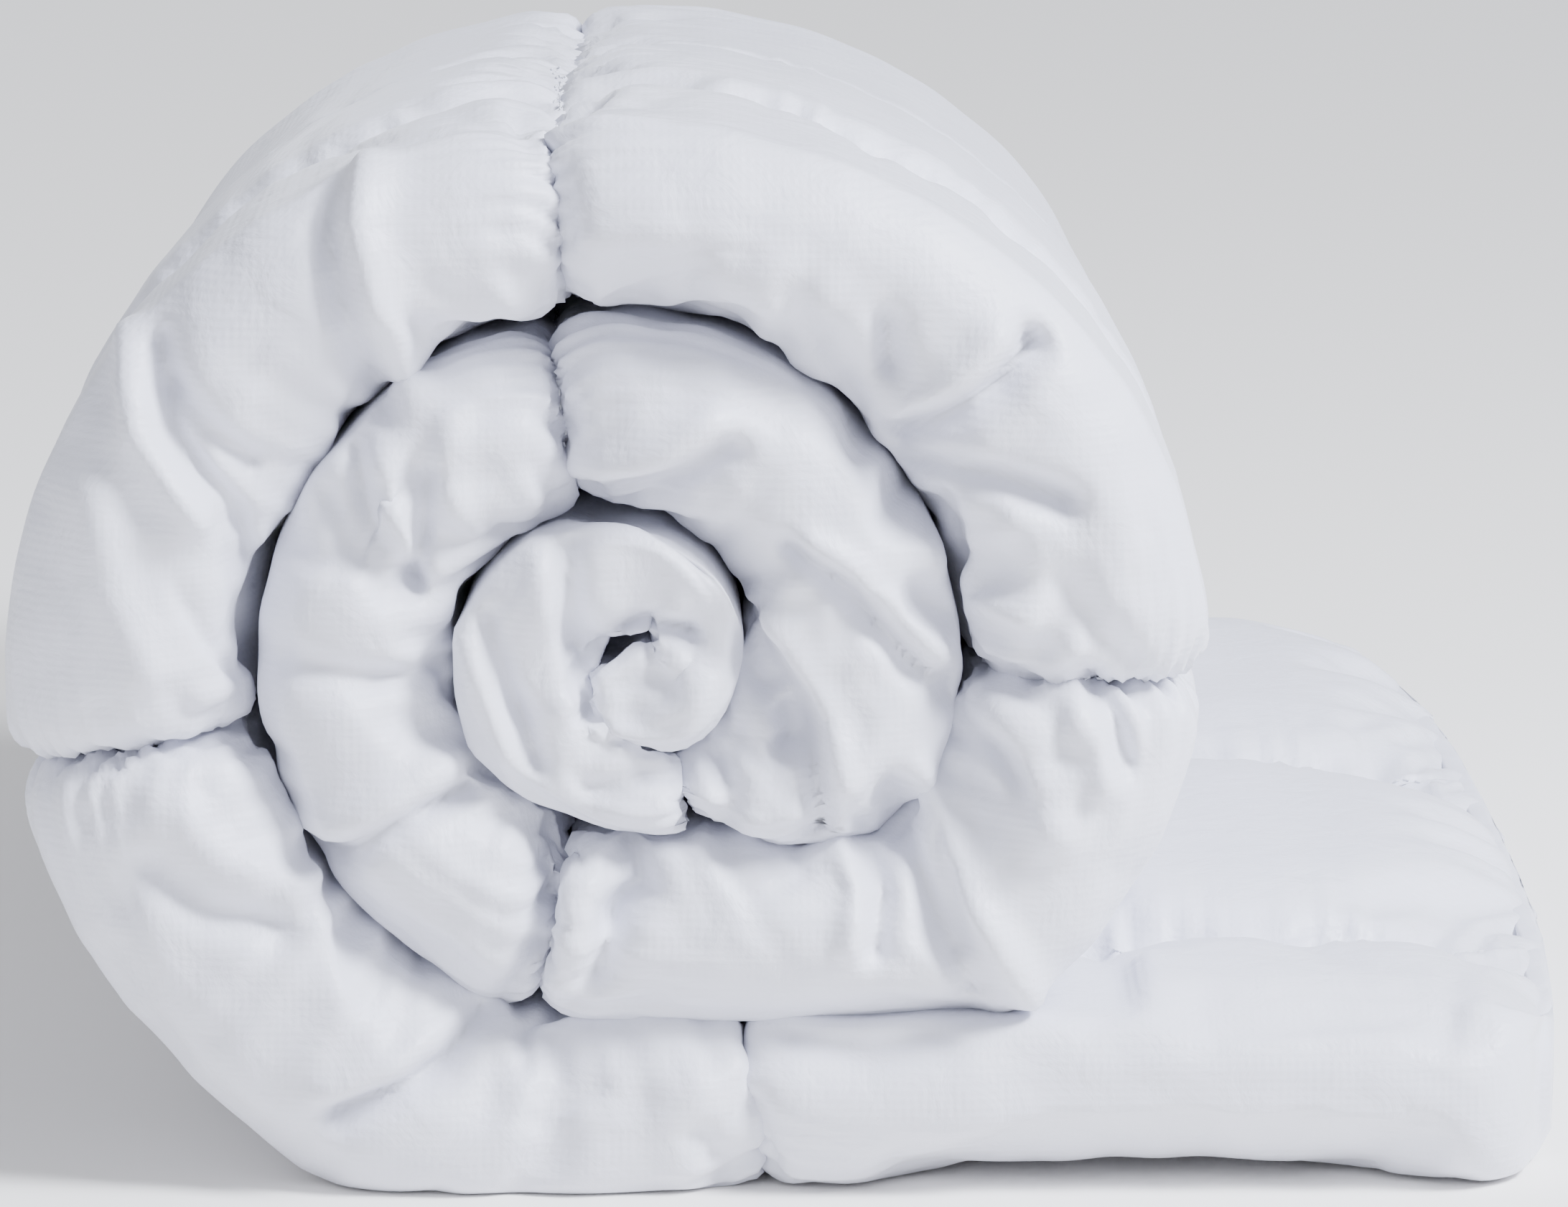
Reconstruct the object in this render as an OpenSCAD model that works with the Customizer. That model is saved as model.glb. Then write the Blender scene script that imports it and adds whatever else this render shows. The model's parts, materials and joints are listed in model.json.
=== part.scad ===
// Quilted single duvet, folded once lengthwise and rolled up, with its free end lying flat.
//
// Frame: +X points along the free end that lies on the surface, +Y runs along the roll's axis
// away from the folded edge, +Z is up. The origin is the middle of the footprint, at z = 0.
//
// The duvet is sewn in rows across its length. Going from the free end, the folded strip runs
// under the roll, up its left side, over the top, down the right and inwards, for 2.7 turns.

/* [Duvet] */
// Width of the duvet when it is opened out flat
duvet_w = 1350; // [1300:10:1400]
// Distance from the free end to the first cross seam
first_row = 272; // [264:1:280]
// Thickness of the folded strip where it lies flat under the roll
layer_t = 58; // [55:1:60]
// Thickness of the modelled fabric
fabric_t = 1; // [0.8:0.1:1.2]
// Depth of the dip that a cross seam pulls into the strip
seam_dip = 6; // [3:1:8]
// Distance along the strip over which a seam's dip fades out
seam_fade = 16; // [10:1:22]
// Distances from the folded edge to the lengthwise seams, as parts of the opened width
seam_share = [0.1, 0.3]; // [0.05:0.05:0.45]

/* [Roll] */
// Outside of the roll, from its centre to the side
roll_side = 196; // [192:1:200]
// Outside of the roll, from its centre to the top
roll_up = 180; // [177:1:184]
// Outside of the roll, from its centre down, before the surface flattens it
roll_down = 190; // [187:1:194]
// Height of the roll's centre above the surface
roll_z = 174; // [172:1:176]
// Outside radius of the second turn
turn2_r = 115; // [113:1:117]
// Outside radius of the innermost turn
turn3_r = 50; // [48:1:52]
// Radius of the rounded end at the heart of the roll
heart_r = 23.5; // [22.5:0.5:24.5]
// Distance from the roll's centre to the free end
tail_x = 322; // [316:1:328]
// Distance from the roll's centre to the line where the free end bends up
bend_x = 150; // [148:1:156]

/* [Care label] */
// Width of the care label
label_w = 32; // [25:1:40]
// Length of the care label
label_l = 36; // [30:1:38]

/* [Hidden] */

near_y = -duvet_w / 4;                     // the folded edge
far_y = duvet_w / 4;                       // the two bound side edges
centre_x = (roll_side - tail_x) / 2;       // puts the origin in the middle of the footprint
heart = [17, -5.5];                        // centre of the rounded end, from the roll's centre

play = 0.8;            // clearance between two turns
fit = 0.3;             // clearance between pieces of one row
thread_w = 1.2;        // width of a sewn line
thread_d = 0.5;        // depth of a sewn line in the fabric
slit = 0.8;            // clearance between the two plies of the folded strip
binding_w = 12;        // width of the bound edges
fold_depth = 46;       // from the folded edge to where the two plies part
end_fade = 30;         // length over which the free end rounds off
end_flat = 12;         // height that is left of the free end's rounding
slant_room = 2.2;      // extra clearance beside a slanting cross seam
step = 3;              // degrees between two points of an outline
beyond = 5;            // how far a cutter reaches past what it cuts

// Angles run clockwise as seen from the folded edge: 0 is down, 90 left, 180 up, 270 right.
// Below 0 the strip is straight, and an angle there stands for a distance along +X.
x_per_deg = (roll_side + turn2_r) / 2 * PI / 180;
lap_in = 130;          // after a whole turn the strip moves inwards over this angle
curl_in = 65;          // the last stretch turns into the rounded end over this angle
strip_end = 1010;      // angle where the strip has become its rounded end
slit_end = 936;        // angle where the strip's inside meets the rounded end
curl_start = 955;
bend_a = -bend_x / x_per_deg;
tail_a = -tail_x / x_per_deg;
seams = [(first_row - tail_x) / x_per_deg, 81, 174, 271, 371, 530, 695];

// Start and end of each stretch of the strip, from the free end to the heart
spans = [
    [tail_a, bend_a], [bend_a, seams[0]], [seams[0], seams[1]],
    [seams[1], seams[2]], [seams[2], seams[3]], [seams[3], seams[4]],
    [seams[4], seams[5]], [seams[5], seams[6]], [seams[6], strip_end]
];
TAIL = 0;
LEAD = 1;
LAST = 8;

fabric_white = [0.93, 0.94, 0.97];
lining_white = [0.88, 0.89, 0.92];
fibre_white = [0.96, 0.96, 0.94];
thread_white = [0.80, 0.81, 0.85];

function smooth(t) = let (u = min(max(t, 0), 1)) u * u * (3 - 2 * u);
function mix(a, b, t) = a + (b - a) * t;
function sign_of(x) = x < 0 ? -1 : 1;

// Angles from a0 to a1: both ends, and the whole multiples of step between them
function steps(a0, a1) = let (way = sign_of(a1 - a0),
        first = way > 0 ? floor(a0 / step) + 1 : ceil(a0 / step) - 1,
        last = way > 0 ? ceil(a1 / step) - 1 : floor(a1 / step) + 1)
    [a0, for (i = [first : way : last]) i * step, a1];
function degrees(mm, r) = mm / r * 180 / PI;

// Outside of the roll: an oval, deeper below its centre than above it
function oval(a) = let (half = cos(a) > 0 ? roll_down : roll_up)
    1 / sqrt(pow(sin(a) / roll_side, 2) + pow(cos(a) / half, 2));

// From the roll's centre along angle a, to a circle of radius r about the heart
function to_heart(a, r) = let (u = -sin(a) * heart[0] - cos(a) * heart[1])
    u + sqrt(u * u - heart * heart + r * r);

// From the roll's centre to the outside of the strip
function reach(a) =
    a < 270 ? oval(a)
    : a < 630 ? mix(oval(a), turn2_r, smooth((a - 270) / lap_in))
    : a < curl_start ? mix(turn2_r, turn3_r, smooth((a - 630) / lap_in))
    : mix(turn3_r, to_heart(a, heart_r), smooth((a - curl_start) / curl_in));

// Height of what the strip rests on, from the roll's centre
function bed(a) = -roll_z + (a < 270 ? -play / 2 : a < 630 ? layer_t : a < 990 ? 2 * layer_t : 0);

// Points on the strip's outside and inside at angle a, moved into the strip by d
function outside(a, d) = a < 0
    ? [-a * x_per_deg, bed(0) + d]
    : let (r = reach(a) - d) [-r * sin(a), max(-r * cos(a), bed(a) + d)];
function inside(a, d) = a <= seams[0]
    ? [-a * x_per_deg, -roll_z + layer_t - d]
    : let (r = reach(a + 360) + d) [-r * sin(a), max(-r * cos(a), bed(a + 360) - d)];
function middle(a) = (outside(a, 0) + inside(a, 0)) / 2;
function across(a) = let (v = outside(a, 0) - inside(a, 0)) v / norm(v);
function middle_r(a) = a < 0 ? x_per_deg * 180 / PI : norm(middle(a));

// How far a seam at angle s pulls the surface in at angle a
function dip(a, s) = seam_dip * exp(-pow((a - s) * PI / 180 * middle_r(s) / seam_fade, 2));

// How far the free end's rounding moves the surface in at angle a
function end_round(a) = let (t = max(0, 1 - (a - tail_a) * x_per_deg / end_fade))
    (layer_t - end_flat) / 2 * (1 - sqrt(1 - min(1, t * t)));

// How far the surface of stretch k lies inside the plain strip at angle a
function sunk(k, a) = play / 2
    + (k > LEAD ? dip(a, spans[k][0]) : 0)
    + (k > TAIL && k < LAST ? dip(a, spans[k][1]) : 0)
    + (k == TAIL ? end_round(a) : 0);

// Inside of the last stretch: it follows the heart, then runs into it
function curled_inside(a, d) = let (r = a < slit_end
        ? to_heart(a, heart_r + d + play / 2)
        : to_heart(a, heart_r - 4))
    [-r * sin(a), -r * cos(a)];

// Extra room beside seam n, for the seams that cross the strip at a slant
function room_beside(n) = n == 5 || n == 7 ? slant_room : 0;

// Where stretch k starts and ends when its edges are moved in by d
function limits(k, d) = let (cut = d + thread_w / 2 + fit) [
    spans[k][0] + degrees(cut + room_beside(k - 1), middle_r(spans[k][0])),
    spans[k][1] - (k == LAST ? 0 : degrees(cut + room_beside(k), middle_r(spans[k][1])))];

// Outline of stretch k with all its edges moved in by d
function outline(k, d) = let (e = limits(k, d)) concat(
    [for (a = steps(e[0], e[1])) outside(a, sunk(k, a) + d)],
    [for (a = steps(e[1], e[0])) k == LAST ? curled_inside(a, d) : inside(a, sunk(k, a) + d)]);

// Band of half thickness h along the middle of stretch k
function band(k, h, d) = let (e = limits(k, d), last = k == LAST ? slit_end - 2 * step : e[1]) concat(
    [for (a = steps(e[0], last)) middle(a) + across(a) * h],
    [for (a = steps(last, e[0])) middle(a) - across(a) * h]);

// Stands a flat outline up in the roll, from y0 to y1
module along(y0, y1) {
    translate([centre_x, y1, roll_z]) rotate([90, 0, 0]) linear_extrude(y1 - y0) children();
}

// The heart: a round bar of radius r, from y0 to y1
module heart_bar(r, y0, y1) {
    translate([centre_x + heart[0], y1, roll_z + heart[1]]) rotate([90, 0, 0])
        cylinder(h = y1 - y0, r = r, $fn = 64);
}

// Solid of stretch k with its edges moved in by d
module stretch(k, d, y0, y1) {
    along(y0, y1) polygon(outline(k, d));
    if (k == LAST) heart_bar(heart_r - play / 2 - d, y0, y1);
}

module plies_gap(k, h, d, y0, y1) {
    along(y0, y1) polygon(band(k, h, d));
}

// Opening between the two plies at the free end
module free_end_gap(h) {
    translate([centre_x + tail_x - binding_w - beyond, near_y + fold_depth,
               roll_z + middle(tail_a)[1] - h])
        cube([binding_w + 2 * beyond, far_y - near_y, 2 * h]);
}

// Everything beyond the start of the free end's binding, moved by d
module past_binding(d) {
    translate([centre_x + tail_x - binding_w + d, near_y - beyond, -beyond])
        cube([end_fade + 2 * beyond, duvet_w / 2 + 2 * beyond, layer_t + 2 * beyond]);
}

module core_end_slot(d) {
    translate([centre_x + heart[0] - binding_w / 2 - d, near_y + binding_w - d,
               roll_z + heart[1] - 1.5 - d])
        cube([binding_w + 2 * d, duvet_w / 2 - 2 * binding_w + 2 * d, 3 + 2 * d]);
}

// Outer fabric of stretch k: it wraps both plies and is open on the bound side
module cover(k) {
    color(fabric_white) difference() {
        stretch(k, 0, near_y, far_y);
        stretch(k, fabric_t, near_y + fabric_t, far_y + beyond);
        for (share = seam_share) sewn_line(k, share, -fabric_t, thread_d + 0.2, thread_w + 2 * fit);
        if (k == TAIL) free_end_gap(slit / 2);
    }
}

// Inner fabric of stretch k: a narrow U between the plies, open on the bound side
module lining(k) {
    ends = fabric_t + 2 * slant_room;
    color(lining_white) difference() {
        plies_gap(k, slit / 2 + fabric_t, ends, near_y + fold_depth, far_y);
        plies_gap(k, slit / 2, ends - beyond / 2, near_y + fold_depth + fabric_t, far_y + beyond);
    }
}

// The space in stretch k between its outer and its inner fabric
module pocket(k, y0, y1) {
    room = fabric_t + fit;
    difference() {
        stretch(k, room, y0, y1);
        plies_gap(k, slit / 2 + room, room - beyond / 2, near_y + fold_depth - fit, far_y + beyond);
        if (k == TAIL) free_end_gap(slit / 2 + room);
        if (k == LAST) core_end_slot(fit);
    }
}

module filling(k) {
    color(fibre_white) difference() {
        pocket(k, near_y + fabric_t + fit, far_y - binding_w - fit);
        if (k == TAIL) past_binding(-fit);
    }
}

module side_binding(first, last) {
    color(fabric_white) for (k = [first : last]) difference() {
        pocket(k, far_y - binding_w, far_y);
        if (k == TAIL) past_binding(-fit);
    }
}

// Sewn line round stretch k, between the depths d0 and d1 under the fabric's surface
module sewn_line(k, share, d0, d1, w) {
    y = near_y + share * duvet_w;
    difference() {
        stretch(k, d0, y - w / 2, y + w / 2);
        stretch(k, d1, y - w, y + w);
    }
}

module stitching(first, last) {
    color(thread_white) for (k = [first : last]) for (share = seam_share)
        difference() {
            sewn_line(k, share, 0.1, 0.1 + thread_d, thread_w);
            if (k == TAIL) past_binding(binding_w - end_fade - fit);
        }
}

// Seam n: the sewn line that holds both plies together between two stretches
module cross_seam(n) {
    a = seams[n - 1];
    whole = norm(outside(a, 0) - inside(a, 0));
    p = mix(outside(a, 0), inside(a, 0), (seam_dip + play + thread_d) / whole);
    q = mix(inside(a, 0), outside(a, 0), (seam_dip + play + thread_d) / whole);
    side = [across(a)[1], -across(a)[0]] * thread_w / 2;
    color(thread_white) along(near_y + seam_dip, far_y - seam_dip)
        polygon([p + side, q + side, q - side, p - side]);
}

module free_end_binding() {
    color(fabric_white) intersection() {
        pocket(TAIL, near_y + fabric_t + fit, far_y);
        past_binding(0);
    }
}

module core_end_binding() {
    color(fabric_white) core_end_slot(0);
}

label_x = 190;                       // middle of the label, along the free end
label_top = layer_t * 3 / 4;         // the label hangs from the upper ply's bound edge
label_t = 0.6;
label_y = far_y + 0.5;

module care_label() {
    color(fabric_white) translate([label_x - label_w / 2, label_y, label_top - label_l])
        cube([label_w, label_t, label_l]);
}

module label_bartack() {
    color(thread_white) translate([label_x - label_w / 2, far_y, label_top + 2 * fit])
        cube([label_w, label_y + label_t - far_y, thread_w]);
}

cover(TAIL);  // tail_cover
lining(TAIL);  // tail_lining
filling(TAIL);  // tail_filling
cover(LEAD);  // lead_cover
lining(LEAD);  // lead_lining
filling(LEAD);  // lead_filling
cover(2);  // row2_cover
lining(2);  // row2_lining
filling(2);  // row2_filling
cover(3);  // row3_cover
lining(3);  // row3_lining
filling(3);  // row3_filling
cover(4);  // row4_cover
lining(4);  // row4_lining
filling(4);  // row4_filling
cover(5);  // row5_cover
lining(5);  // row5_lining
filling(5);  // row5_filling
cover(6);  // row6_cover
lining(6);  // row6_lining
filling(6);  // row6_filling
cover(7);  // row7_cover
lining(7);  // row7_lining
filling(7);  // row7_filling
cover(LAST);  // row8_cover
lining(LAST);  // row8_lining
filling(LAST);  // row8_filling
cross_seam(1);  // cross_seam1
cross_seam(2);  // cross_seam2
cross_seam(3);  // cross_seam3
cross_seam(4);  // cross_seam4
cross_seam(5);  // cross_seam5
cross_seam(6);  // cross_seam6
cross_seam(7);  // cross_seam7
side_binding(TAIL, TAIL);  // tail_side_binding
side_binding(LEAD, 5);  // outer_side_binding
side_binding(6, 7);  // coil_side_binding
side_binding(LAST, LAST);  // core_side_binding
free_end_binding();
core_end_binding();
stitching(TAIL, TAIL);  // tail_stitching
stitching(LEAD, 5);  // outer_stitching
stitching(6, 7);  // coil_stitching
stitching(LAST, LAST);  // core_stitching
care_label();
label_bartack();
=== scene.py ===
"""A quilted single duvet, folded once lengthwise and rolled up, with its free end lying flat.

Lengths of the strip's own geometry are in millimetres, as in the CAD part, and become metres
when a mesh is made. Angles are in degrees along the spiral: 0 down, 90 left, 180 up, 270 right.
"""
import json
import math

import bmesh
import bpy
import numpy as np
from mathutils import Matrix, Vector
from mathutils.bvhtree import BVHTree


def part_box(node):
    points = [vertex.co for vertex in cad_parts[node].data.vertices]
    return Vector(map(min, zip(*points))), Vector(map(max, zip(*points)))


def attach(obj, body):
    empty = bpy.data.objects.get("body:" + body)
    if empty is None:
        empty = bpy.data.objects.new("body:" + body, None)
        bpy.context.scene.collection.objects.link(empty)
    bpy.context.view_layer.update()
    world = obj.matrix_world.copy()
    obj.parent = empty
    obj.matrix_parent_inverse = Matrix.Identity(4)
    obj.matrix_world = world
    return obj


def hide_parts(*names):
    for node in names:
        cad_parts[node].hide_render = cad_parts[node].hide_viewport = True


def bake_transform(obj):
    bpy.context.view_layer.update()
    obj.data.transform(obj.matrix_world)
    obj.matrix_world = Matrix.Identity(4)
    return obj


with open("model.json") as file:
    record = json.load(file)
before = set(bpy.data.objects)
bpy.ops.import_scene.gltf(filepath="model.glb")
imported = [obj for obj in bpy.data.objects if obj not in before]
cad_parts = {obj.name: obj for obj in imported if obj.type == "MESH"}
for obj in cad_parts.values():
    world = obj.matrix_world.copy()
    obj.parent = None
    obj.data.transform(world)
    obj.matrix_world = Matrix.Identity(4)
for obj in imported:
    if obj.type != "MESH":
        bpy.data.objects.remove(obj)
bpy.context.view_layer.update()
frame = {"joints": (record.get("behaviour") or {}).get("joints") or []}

MM = 0.001

# ------------------------------------------------------------------ sizes, from the frame
NEAR, FAR = (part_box("row3_cover")[i][1] / MM for i in (0, 1))      # folded edge, bound edges
LEFT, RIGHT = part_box("row3_cover")[0][0] / MM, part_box("tail_cover")[1][0] / MM
PLAY = 0.8                                                         # between two turns
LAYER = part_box("lead_cover")[1][2] / MM + PLAY / 2                 # lying strip's thickness
ROLL_SIDE, ROLL_UP, ROLL_DOWN = 196.0, 180.0, 190.0                # centre to side, top, bottom
TURN2, TURN3, HEART_R = 115.0, 50.0, 23.5                          # inner turns' radii
HEART = np.array([17.0, -5.5])                                     # rounded end's centre
CX, CZ = LEFT + ROLL_SIDE, 174.0                                   # the roll's centre
TAIL_X = RIGHT - CX                                                # centre to the free end
BEND_X = next(j["pos_m"][0] for j in frame["joints"] if j["name"] == "tail_lift") / MM - CX
X_PER_DEG = math.radians(1) * (ROLL_SIDE + TURN2) / 2              # on the flat part
ROW1_LENGTH = 272.0
SEAMS = [(ROW1_LENGTH - TAIL_X) / X_PER_DEG, 81, 174, 271, 371, 530, 695]  # the cross seams
LONG_SEAMS = [NEAR + 135, NEAR + 405]                              # the lengthwise seams

# ------------------------------------------------------------------ the spiral strip
TURN_END, EASE = 270.0, 130.0          # where a turn starts to run inwards, and for how long
HEART_START, HEART_EASE = 955.0, 65.0  # the same for the rounded end
CURL_START = 940                       # where CURL takes over from the spiral
SAMPLES = 80                           # angles at which a row's spiral is worked out


def smooth(t):
    """0 to 1 with a soft start and end."""
    t = np.clip(t, 0, 1)
    return t * t * (3 - 2 * t)


def unit(v):
    return v / np.maximum(np.linalg.norm(v, axis=-1, keepdims=True), 1e-9)


def direction(a):
    """From the roll's centre towards an angle of the spiral."""
    return np.stack([-np.sin(np.radians(a)), -np.cos(np.radians(a))], -1)


def to_heart(a, r):
    """Distance from the roll's centre to a circle of radius r round the heart."""
    u = direction(a) @ HEART
    return u + np.sqrt(u * u - HEART @ HEART + r * r)


def reach(a):
    """Distance from the roll's centre to the strip's outside."""
    side, up = direction(a).T
    oval = 1 / np.hypot(side / ROLL_SIDE, up / np.where(up < 0, ROLL_DOWN, ROLL_UP))
    first = oval + (TURN2 - oval) * smooth((a - TURN_END) / EASE)
    second = TURN2 + (TURN3 - TURN2) * smooth((a - TURN_END - 360) / EASE)
    last = TURN3 + (to_heart(a, HEART_R) - TURN3) * smooth((a - HEART_START) / HEART_EASE)
    return np.where(a < TURN_END + 360, first, np.where(a < HEART_START, second, last))


def bed(a):
    """Height of what the strip rests on, from the roll's centre."""
    ends = [a < TURN_END, a < TURN_END + 360, a < TURN_END + 720]
    layers = np.select(ends, [0.0, LAYER, 2 * LAYER], 0.0)
    return layers - CZ


def outside(a):
    """Points of the strip's outer face, in (right, up) from the roll's centre."""
    round_part = reach(a)[:, None] * direction(a)
    round_part[:, 1] = np.maximum(round_part[:, 1], bed(a))
    straight = np.stack([-a * X_PER_DEG, np.full(len(a), -CZ)], -1)
    return np.where((a < 0)[:, None], straight, round_part)


def inside(a):
    """Points of its inner face, which lies on the outer face of the next turn."""
    inner = outside(a + 360)
    straight = np.stack([-a * X_PER_DEG, np.full(len(a), LAYER - CZ)], -1)
    return np.where((a <= SEAMS[0])[:, None], straight, inner)


class Rail:
    """Stations along one row: middle point, direction across the strip, half thickness."""

    def __init__(self, outer, inner, spacing):
        line = (outer + inner) / 2
        length = np.r_[0, np.cumsum(np.linalg.norm(np.diff(line, axis=0), axis=1))]
        count = max(4, int(round(length[-1] / spacing)))
        self.s = np.linspace(0, length[-1], count + 1)
        outer, inner = (np.stack([np.interp(self.s, length, face[:, i]) for i in (0, 1)], -1)
                        for face in (outer, inner))
        self.mid = (outer + inner) / 2
        self.across = unit(outer - inner)
        self.half = np.linalg.norm(outer - inner, axis=1) / 2
        self.length = length[-1]
        ahead = np.gradient(self.mid, axis=0)[len(self.s) // 2]
        side = self.across[len(self.s) // 2]
        self.turn = np.sign(ahead @ np.array([side[1], -side[0]]))


# The innermost row's last part: middle points and half thickness, from the roll's centre
CURL = np.array([[32, 15, 14.5], [30, 2, 16], [24, -5, 19], [17, -5.5, 22.5],
                 [9, -5.5, 21.5], [1, -5.5, 15], [-5, -5.5, 4]])


def last_rail(spacing):
    """The innermost row: the end of the spiral, then the curl."""
    a = np.arange(SEAMS[6], CURL_START, 3.0)
    outer = outside(a)
    inner = direction(a) * to_heart(a, HEART_R + PLAY)[:, None]
    mid, half = (outer + inner) / 2, np.linalg.norm(outer - inner, axis=1) / 2
    mid, half = np.r_[mid, CURL[:, :2]], np.r_[half, CURL[:, 2]]
    for _ in range(2):
        mid[1:-1] = (mid[:-2] + 2 * mid[1:-1] + mid[2:]) / 4
    along = unit(np.gradient(mid, axis=0))
    out = np.stack([-along[:, 1], along[:, 0]], -1)
    out *= np.sign(np.sum(out * (outer[0] - inner[0])[None], axis=1)[0])
    return Rail(mid + out * half[:, None], mid - out * half[:, None], spacing)


def row_rail(row, spacing):
    if row == 8:
        return last_rail(spacing)
    start = -TAIL_X / X_PER_DEG if row == 1 else SEAMS[row - 2]
    a = np.linspace(start, SEAMS[row - 1], SAMPLES)
    return Rail(outside(a), inside(a), spacing)


# ------------------------------------------------------------------ one row's padded body
SPACING = 5.2          # between stations, before the subdivision
EDGE_DEPTH = 40.0      # how far back the rounded folded edge reaches at most
EDGE_SHARE = 1.05      # and as a share of half the strip's thickness
END_LOSS = 0.45        # share of that depth which is lost at the free end
HEM = 34.0             # length over which a ply thins to its bound edge
HEM_T = 2.2            # half thickness at the bound edge
TAPE = 8.0             # width of the binding
SLIT = 80.0            # depth of the modelled gap between the two plies
SEAM_R = 24.0          # a pillow's rounding beside a cross seam
SEAM_DEPTH = 9.0       # how deep a cross seam pulls the surface in
EDGE_PULL = 17.0       # how far a cross seam pulls the folded edge back
CORNER = 34.0          # radius of the free end's corner, seen from above
LONG_DEPTH = 16.0      # how deep a lengthwise seam pulls the surface in
DIP_ROUND, DIP_REACH = 2, 18                # rounding of that dip's bottom, and its reach
BESIDE_SEAM = (-12, -7, -3, 0, 3, 7, 12)    # where the section has points across that dip
FOLD_Y, FOLD_N = 0.85, 0.92                 # powers of the fold's outline: 1 is a half ellipse
HEM_POINTS = np.linspace(0, 90, 8)          # angles along a hem's quarter round
HELD_BACK = 75.0       # beyond this from the fold, the face that doesn't show is held still
HELD_BESIDE = 1.5      # half width of what a lengthwise seam holds still
FRAMES = 16            # length of the cloth simulation
CAP = 10.0             # most that cloth may move a point
PROUD, PROUD_HIDDEN = 3.0, 1.5   # how far cloth may stand out of its row's layer
RECESS = {1: 0, 2: 0, 3: 1, 4: 0, 5: 3, 6: 6, 7: 7, 8: 5}    # how far a row's fold stands back
SEEN = {1: 2, 2: 1, 3: 1, 4: 1, 5: 1, 6: 0, 7: 0, 8: 0}      # which face of a row shows


def pillow(s, length, free_end):
    """0 in the middle of a row, 1 on its seams: a quarter round on both sides."""
    near = np.maximum(0, 1 - s / SEAM_R) if not free_end else 0 * s
    t = np.maximum(near, np.maximum(0, 1 - (length - s) / SEAM_R))
    return 1 - np.sqrt(1 - np.minimum(t, 1) ** 2)


def face_line(near, hem_y, top, pull, loss, seen):
    """One face of the strip from its folded edge to its hem, with the lengthwise seams' dips."""
    line = np.linspace(near, hem_y, 26)[1:-1]
    if seen:
        first, second = ([seam + d for d in BESIDE_SEAM] for seam in LONG_SEAMS)
        line = [*np.linspace(near, first[0], 10)[1:-1], *first,
                *np.linspace(first[-1], second[0], 30)[1:-1], *second,
                *np.linspace(second[-1], hem_y, 24)[1:-1]]
    dips = [sum(LONG_DEPTH * math.exp(-math.hypot(y - seam, DIP_ROUND) / DIP_REACH)
                for seam in LONG_SEAMS) if seen else 0 for y in line]
    return [(y, top - dip * (1 - 0.6 * pull) * (1 - loss)) for y, dip in zip(line, dips)]


def cross_section(half, pull, loss, seen, recess):
    """Outline of the folded strip in (y, n): n is across the strip, -half to half.

    pull is a cross seam's pull, loss the thinning at the free end, both from 0 to 1.
    seen is the label of the face that shows and gets its full detail, or 0. recess sets the
    fold back. Returns points and a label for each: 0 edge, 1 outside, 2 inside, 3 hem, 4 slit.
    """
    h_out = half - SEAM_DEPTH * pull
    ply = h_out / 2
    thick = HEM_T + (ply - HEM_T) * math.sqrt(max(0.0, 1 - loss * loss))
    top = ply + thick
    gap = max(0.4, ply - thick)
    near = NEAR + recess + EDGE_PULL * pull + CORNER * (1 - math.sqrt(1 - loss * loss))
    depth = min(EDGE_DEPTH, h_out * EDGE_SHARE) * (1 - END_LOSS * loss)
    points, labels = [], []

    def add(y, n, label):
        points.append((y, n))
        labels.append(label)

    def add_hem(side, angles, faces_gap):
        """One side of one ply's hem: side is -1 on the lower ply and 1 on the upper one.

        On both, the point at the bound edge gets the hem's own half thickness.
        """
        for t in angles:
            bulge = (thick - HEM_T) * math.cos(math.radians(t))
            if faces_gap:
                n = ply - bulge * (ply - gap) / thick - HEM_T * (t == 90)
            else:
                n = ply + bulge + HEM_T
            add(hem_y + HEM * math.sin(math.radians(t)), side * n, 3)

    slit_y = FAR - SLIT + (near + depth * 0.55 - FAR + SLIT) * smooth((loss - 0.02) / 0.4)
    hem_y = FAR - HEM - TAPE + 2
    for t in np.linspace(0, 1, 7)[:-1]:                          # lower ply, inside the gap
        add(slit_y + (hem_y - slit_y) * t, -gap, 4)
    add_hem(-1, HEM_POINTS, True)
    add_hem(-1, HEM_POINTS[::-1], False)
    for y, n in face_line(near + depth, hem_y, top, pull, loss, seen == 2)[::-1]:
        add(y, -n, 2)
    for t in np.linspace(-90, 90, 33):                           # the folded edge
        cosine, sine = math.cos(math.radians(t)), math.sin(math.radians(t))
        add(near + depth * (1 - abs(cosine) ** FOLD_Y),
            top * math.copysign(abs(sine) ** FOLD_N, sine), 0)
    for y, n in face_line(near + depth, hem_y, top, pull, loss, seen == 1):
        add(y, n, 1)
    add_hem(1, HEM_POINTS, False)
    add_hem(1, HEM_POINTS[::-1], True)
    for t in np.linspace(1, 0, 7)[1:]:                           # upper ply, inside the gap
        add(slit_y + (hem_y - slit_y) * t, gap, 4)
    return np.array(points), np.array(labels)


def new_object(name, verts, faces):
    """A mesh object with its faces turned outwards."""
    mesh = bpy.data.meshes.new(name)
    mesh.from_pydata([tuple(v) for v in verts], [], faces)
    obj = bpy.data.objects.new(name, mesh)
    bpy.context.scene.collection.objects.link(obj)
    bm = bmesh.new()
    bm.from_mesh(mesh)
    bmesh.ops.recalc_face_normals(bm, faces=bm.faces)
    bm.to_mesh(mesh)
    bm.free()
    return obj


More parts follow.
